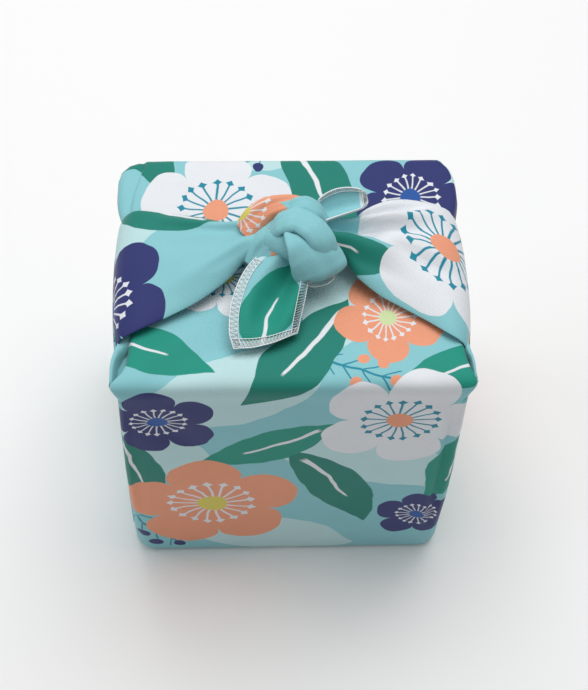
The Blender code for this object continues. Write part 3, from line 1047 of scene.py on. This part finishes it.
def over(ground, colour, mask):
    """Lay a colour over the ground where the mask is 1."""
    sockets = {MIX_FACTOR: mask, MIX_A: ground, MIX_B: colour}
    return Value.node("Mix", {"data_type": "RGBA"}, sockets, out=MIX_RESULT)


# %% Inks
AQUA = (0.255, 0.590, 0.640, 1)
PALE_AQUA = (0.520, 0.755, 0.775, 1)
GREEN = (0.005, 0.215, 0.165, 1)
LEAF_GREEN = (0.006, 0.290, 0.215, 1)
WHITE = (0.800, 0.830, 0.870, 1)
CORAL = (0.860, 0.345, 0.200, 1)
LIME = (0.640, 0.760, 0.400, 1)
YELLOW = (0.740, 0.630, 0.110, 1)
NAVY = (0.022, 0.030, 0.160, 1)
BLUE = (0.015, 0.095, 0.370, 1)
TEAL = (0.006, 0.255, 0.370, 1)
THREAD_WHITE = (0.820, 0.870, 0.890, 1)

# %% [markdown]
# The motifs are everyday ones: plum blossoms with five round petals and a ring of stamens,
# leaves with a pale rib, sprigs of berries, and the same leaves in pale aqua as shadows behind
# them. Their places on the square are short lists, and a Mapping node gives each its own grid.

# %% Places of the motifs on the flat cloth
# Columns: u, v, radius (mm), turn (degrees), inks of petal, heart and stamens.
BLOSSOMS = [
    (-38.0, -118.0, 44.0, 12.0, CORAL, YELLOW, WHITE),
    (48.0, -196.0, 38.0, 40.0, WHITE, CORAL, TEAL),
    (-60.0, -196.0, 27.0, 5.0, NAVY, BLUE, WHITE),
    (44.0, -262.0, 26.0, 62.0, CORAL, LIME, WHITE),
    (64.0, -104.0, 22.0, 20.0, NAVY, BLUE, WHITE),
    (-30.0, -284.0, 24.0, 30.0, WHITE, YELLOW, TEAL),
    (-236.0, -14.0, 34.0, 30.0, NAVY, BLUE, WHITE),
    (-206.0, 40.0, 26.0, 8.0, CORAL, LIME, WHITE),
    (256.0, 8.0, 42.0, 50.0, WHITE, CORAL, TEAL),
    (222.0, -44.0, 24.0, 10.0, CORAL, YELLOW, WHITE),
    (-34.0, 256.0, 36.0, 20.0, WHITE, CORAL, TEAL),
    (58.0, 250.0, 28.0, 44.0, NAVY, BLUE, WHITE),
    (-30.0, 150.0, 46.0, 70.0, CORAL, YELLOW, WHITE),
    (52.0, 110.0, 38.0, 0.0, WHITE, CORAL, TEAL),
    (-142.0, -18.0, 44.0, 10.0, WHITE, CORAL, TEAL),
    (140.0, 22.0, 44.0, 80.0, CORAL, YELLOW, WHITE),
    (168.0, -44.0, 28.0, 30.0, NAVY, BLUE, WHITE),
    (-160.0, 52.0, 24.0, 60.0, NAVY, BLUE, WHITE),
    (-336.0, 8.0, 26.0, 15.0, CORAL, YELLOW, WHITE),
]
# Columns: u, v, half-length (mm), turn (degrees), width as a share of length, and the ink.
# Shadows are all pale aqua, so their rows stop at the width.
LEAVES = [
    (22.0, -136.0, 42.0, 62.0, 0.34, GREEN),
    (-10.0, -174.0, 36.0, 150.0, 0.34, LEAF_GREEN),
    (76.0, -148.0, 32.0, 100.0, 0.36, LEAF_GREEN),
    (-72.0, -152.0, 34.0, 76.0, 0.36, GREEN),
    (4.0, -240.0, 40.0, 128.0, 0.34, GREEN),
    (-66.0, -246.0, 34.0, 20.0, 0.36, LEAF_GREEN),
    (72.0, -232.0, 30.0, 160.0, 0.34, LEAF_GREEN),
    (16.0, 246.0, 44.0, 74.0, 0.34, GREEN),
    (-70.0, 214.0, 36.0, 60.0, 0.36, GREEN),
    (66.0, 196.0, 44.0, 20.0, 0.36, GREEN),
    (-66.0, 90.0, 38.0, 120.0, 0.36, LEAF_GREEN),
    (4.0, 92.0, 36.0, 30.0, 0.36, GREEN),
    (-262.0, 32.0, 36.0, 25.0, 0.36, GREEN),
    (-192.0, -38.0, 38.0, 150.0, 0.36, LEAF_GREEN),
    (-100.0, 30.0, 40.0, 140.0, 0.36, GREEN),
    (206.0, 40.0, 38.0, 150.0, 0.36, GREEN),
    (104.0, -34.0, 40.0, 20.0, 0.36, LEAF_GREEN),
    (-396.0, 2.0, 34.0, 38.0, 0.40, LEAF_GREEN),
    (310.0, -14.0, 34.0, 165.0, 0.36, GREEN),
]
SHADOWS = [
    (-30.0, -216.0, 56.0, 156.0, 0.40),
    (40.0, -160.0, 52.0, 20.0, 0.42),
    (-8.0, -84.0, 46.0, 10.0, 0.40),
    (24.0, -284.0, 50.0, 100.0, 0.40),
    (-60.0, -166.0, 40.0, 40.0, 0.44),
    (-10.0, 206.0, 60.0, 170.0, 0.44),
    (74.0, 268.0, 44.0, 100.0, 0.40),
    (0.0, 108.0, 50.0, 100.0, 0.40),
    (-226.0, 18.0, 50.0, 160.0, 0.42),
    (226.0, -4.0, 50.0, 40.0, 0.42),
    (124.0, -60.0, 46.0, 70.0, 0.40),
]
# Columns: u, v, reach (mm), turn (degrees), ink of the berries, ink of the stem.
SPRIGS = [
    (-66.0, -90.0, 20.0, 60.0, NAVY, TEAL),
    (30.0, -232.0, 17.0, 20.0, CORAL, TEAL),
    (-20.0, 226.0, 19.0, 150.0, NAVY, TEAL),
    (-176.0, 6.0, 19.0, 110.0, CORAL, TEAL),
]

# %% Print material
printed = bpy.data.materials.new("printed_twill")
printed.use_nodes = True
Value.tree = printed.node_tree
shader = printed.node_tree.nodes["Principled BSDF"]
flat_map = Value.node("UVMap", {"uv_map": "flat_cloth"}, {})
BRUSH = 0.0044
BRUSH_SCALE = 34.0
waver = Value.node(
    "TexNoise", {}, {"Vector": flat_map, "Scale": BRUSH_SCALE, "Detail": 2.5}, out="Color"
)
waver = Value.node("VectorMath", {"operation": "SUBTRACT"}, {0: waver, 1: (0.5, 0.5, 0.5)})
waver = Value.node("VectorMath", {"operation": "SCALE"}, {0: waver, "Scale": BRUSH * 2})
drawn = Value.node("VectorMath", {"operation": "ADD"}, {0: flat_map, 1: waver})


def vector_maths(operation, one, two, out=0):
    return Value.node("VectorMath", {"operation": operation}, {0: one, 1: two}, out=out)


def part_along(vector, x, y):
    """How much of a vector runs along (x, y)."""
    return vector_maths("DOT_PRODUCT", vector, (x, y, 0), out="Value")


def motif_grid(u, v, size, turn):
    """x, y and the vector of a motif's own grid, which is 1 at its rim."""
    own = Value.node(
        "Mapping",
        {"vector_type": "TEXTURE"},
        {
            "Vector": drawn,
            "Location": (u * MM, v * MM, 0),
            "Rotation": (0, 0, radians(turn)),
            "Scale": (size * MM, size * MM, 1),
        },
    )
    return part_along(own, 1, 0), part_along(own, 0, 1), own


def distance(own, x, y):
    """How far a spot of a motif's grid is from (x, y)."""
    return vector_maths("DISTANCE", own, (x, y, 0), out="Value")


def leaf(ground, u, v, size, turn, width, ink, rib_ink=None):
    """Lay a leaf with its pale rib over the ground."""
    x, y, _ = motif_grid(u, v, size, turn)
    bend = 0.10 * x * x
    edge = width * (1 - x * x) - abs(y - bend)
    ground = over(ground, ink, inside(edge, 0.35 / size))
    if rib_ink is None:
        return ground
    rib = inside(0.018 * (1.2 - x) - abs(y - bend), 0.4 / size)
    return over(ground, rib_ink, rib * inside(0.55 - abs(x + 0.2), 0.06))


PETALS = 5
PETAL_DIP, NOTCH = 0.60, 0.5
STAMENS = 17


def blossom(ground, u, v, size, turn, petal, heart, stamen):
    """Lay a five-petalled plum blossom over the ground."""
    x, y, own = motif_grid(u, v, size, turn)
    soft = 0.35 / size
    far = distance(own, 0, 0)
    angle = Value.maths("ARCTAN2", y, x)
    notch = abs(Value.maths("SINE", angle * (PETALS / 2))) ** NOTCH
    ground = over(ground, petal, inside(PETAL_DIP + (1 - PETAL_DIP) * notch - far, soft))
    spokes = abs(Value.maths("SINE", angle * (STAMENS / 2)))
    thread = inside(0.013 - spokes * far * 0.12, soft) * inside(0.43 - far, soft)
    tip = inside(0.075 - spokes * far * 0.18 - abs(far - 0.45) * 1.4, soft)
    ground = over(ground, stamen, either(thread, tip))
    return over(ground, heart, inside(0.17 - far, soft))


BERRIES = [(0.86, 0.0), (0.5, 0.42), (0.42, -0.4), (0.0, 0.36), (-0.1, -0.34)]


def sprig(ground, u, v, size, turn, berry, stem):
    """Lay a stem with round berries over the ground."""
    x, y, own = motif_grid(u, v, size, turn)
    soft = 0.35 / size
    branch = abs(abs(y) - 0.8 * Value.maths("MODULO", x + 1.5, 0.5))
    twigs = inside(0.025 - branch, soft) * inside(0.3 - abs(y), soft)
    line = either(inside(0.03 - abs(y), soft), twigs)
    ground = over(ground, stem, line * inside(0.9 - abs(x), soft))
    gap = None
    for at_x, at_y in BERRIES:
        here = distance(own, at_x, at_y)
        gap = here if gap is None else Value.maths("MINIMUM", gap, here)
    return over(ground, berry, inside(0.15 - gap, soft))


colour = over(AQUA, AQUA, 0.0)
for row in SHADOWS:
    colour = leaf(colour, *row, PALE_AQUA)
for row in SPRIGS:
    colour = sprig(colour, *row)
for row in LEAVES:
    colour = leaf(colour, *row, rib_ink=WHITE)
for row in BLOSSOMS:
    colour = blossom(colour, *row)

# The overlock's own thread makes the cloth's edge pale.
HEM = 3.6
HEM_COVER = 0.62
reach_u = abs(part_along(flat_map, 1, 0))
reach_v = abs(part_along(flat_map, 0, 1))
from_edge = (CORNER * MM - (reach_u + reach_v)) * sqrt(0.5)
colour = over(colour, THREAD_WHITE, inside(HEM * MM - from_edge, 0.3 * MM) * HEM_COVER)

# %% [markdown]
# ## The weave
# The twill's ribs run along one edge of the square, so they cross the box on the diagonal. They
# show as a fine bump and a slight change of tone. Thread and ink also vary a little.

# %% Weave and finish
RIB = 0.86
THREAD = 0.43
RELIEF = 0.22


def lines(across_u, across_v, spacing):
    """A wave from -1 to 1 whose crests lie `spacing` apart across a direction of the cloth."""
    turns = 2 * pi / (spacing * MM)
    return Value.maths("SINE", part_along(flat_map, across_u * turns, across_v * turns))


half = sqrt(0.5)
ribs = lines(half, half, RIB)
threads = lines(half, -half, THREAD)
fibre = Value.node("TexNoise", {}, {"Vector": flat_map, "Scale": 900.0, "Detail": 3.0}, out="Fac")
blotch = Value.node("TexNoise", {}, {"Vector": flat_map, "Scale": 60.0, "Detail": 4.0}, out="Fac")
tone = 0.94 + 0.05 * ribs + 0.10 * (fibre - 0.5) + 0.07 * (blotch - 0.5)
tinted = Value.node("VectorMath", {"operation": "SCALE"}, {0: colour, "Scale": tone})
Value.tree.links.new(tinted.socket, shader.inputs["Base Color"])
height = 0.5 * ribs + 0.18 * threads + 0.6 * fibre
relief = {"Height": height, "Strength": 0.28, "Distance": RELIEF * MM}
bump = Value.node("Bump", {}, relief, out="Normal")
Value.tree.links.new(bump.socket, shader.inputs["Normal"])
rough = 0.62 + 0.12 * fibre
Value.tree.links.new(rough.socket, shader.inputs["Roughness"])
shader.inputs["Sheen Weight"].default_value = 0.22
shader.inputs["Sheen Roughness"].default_value = 0.4
shader.inputs["Specular IOR Level"].default_value = 0.35
cloth.data.materials.append(printed)

# %% Overlock thread
thread_finish = bpy.data.materials.new("overlock_thread")
thread_finish.use_nodes = True
thread_shader = thread_finish.node_tree.nodes["Principled BSDF"]
thread_shader.inputs["Base Color"].default_value = THREAD_WHITE
thread_shader.inputs["Roughness"].default_value = 0.65
edging.data.materials.append(thread_finish)

# %% [markdown]
# ## Camera and light
# The camera looks down on the parcel from the front, a touch from the left.

# %% Camera
EYE = Vector((-25.7, -423.7, 753.5))
PITCH, YAW, ROLL = 57.17, -3.91, 2.69
LENS = 83.48
camera = bpy.data.objects.new("camera", bpy.data.cameras.new("camera"))
bpy.context.scene.collection.objects.link(camera)
bpy.context.scene.camera = camera
camera.data.lens = LENS
camera.data.sensor_width = 36.0
camera.data.clip_start = 0.01
camera.data.clip_end = 20.0
pitch, yaw, roll = radians(PITCH), radians(YAW), radians(ROLL)
back = Vector((sin(yaw) * cos(pitch), -cos(yaw) * cos(pitch), sin(pitch)))
level = Vector((cos(yaw), sin(yaw), 0))
upright = back.cross(level)
right = level * cos(roll) + upright * sin(roll)
top = upright * cos(roll) - level * sin(roll)
turn = Matrix((right, top, back)).transposed().to_4x4()
camera.matrix_world = Matrix.Translation((EYE - MIDDLE) * MM) @ turn

# %% Floor and lights
floor_mesh = bpy.data.meshes.new("floor")
floor_bm = bmesh.new()
bmesh.ops.create_grid(floor_bm, x_segments=1, y_segments=1, size=4.0)
floor_bm.to_mesh(floor_mesh)
floor_bm.free()
floor = bpy.data.objects.new("floor", floor_mesh)
bpy.context.scene.collection.objects.link(floor)
paper = bpy.data.materials.new("pale_paper")
paper.use_nodes = True
paper.node_tree.nodes["Principled BSDF"].inputs["Base Color"].default_value = (0.93, 0.93, 0.93, 1)
paper.node_tree.nodes["Principled BSDF"].inputs["Roughness"].default_value = 0.9
floor_mesh.materials.append(paper)


def soft_light(name, spot, aim, width, height, power):
    lamp = bpy.data.lights.new(name, "AREA")
    lamp.shape = "RECTANGLE"
    lamp.size = width
    lamp.size_y = height
    lamp.energy = power
    obj = bpy.data.objects.new(name, lamp)
    obj.location = spot
    obj.rotation_euler = (Vector(aim) - Vector(spot)).to_track_quat("-Z", "Y").to_euler()
    bpy.context.scene.collection.objects.link(obj)
    return obj


PARCEL = (0, 0, 0.1)
soft_light("overhead", (0.1, 0.45, 1.6), PARCEL, 1.4, 1.2, 20)
soft_light("window_left", (-1.3, 0.1, 1.1), PARCEL, 1.0, 1.0, 4)
bpy.context.scene.view_settings.view_transform = "Standard"
world = bpy.data.worlds.new("studio")
bpy.context.scene.world = world
world.use_nodes = True
world.node_tree.nodes["Background"].inputs["Color"].default_value = (1, 1, 1, 1)
world.node_tree.nodes["Background"].inputs["Strength"].default_value = 0.34
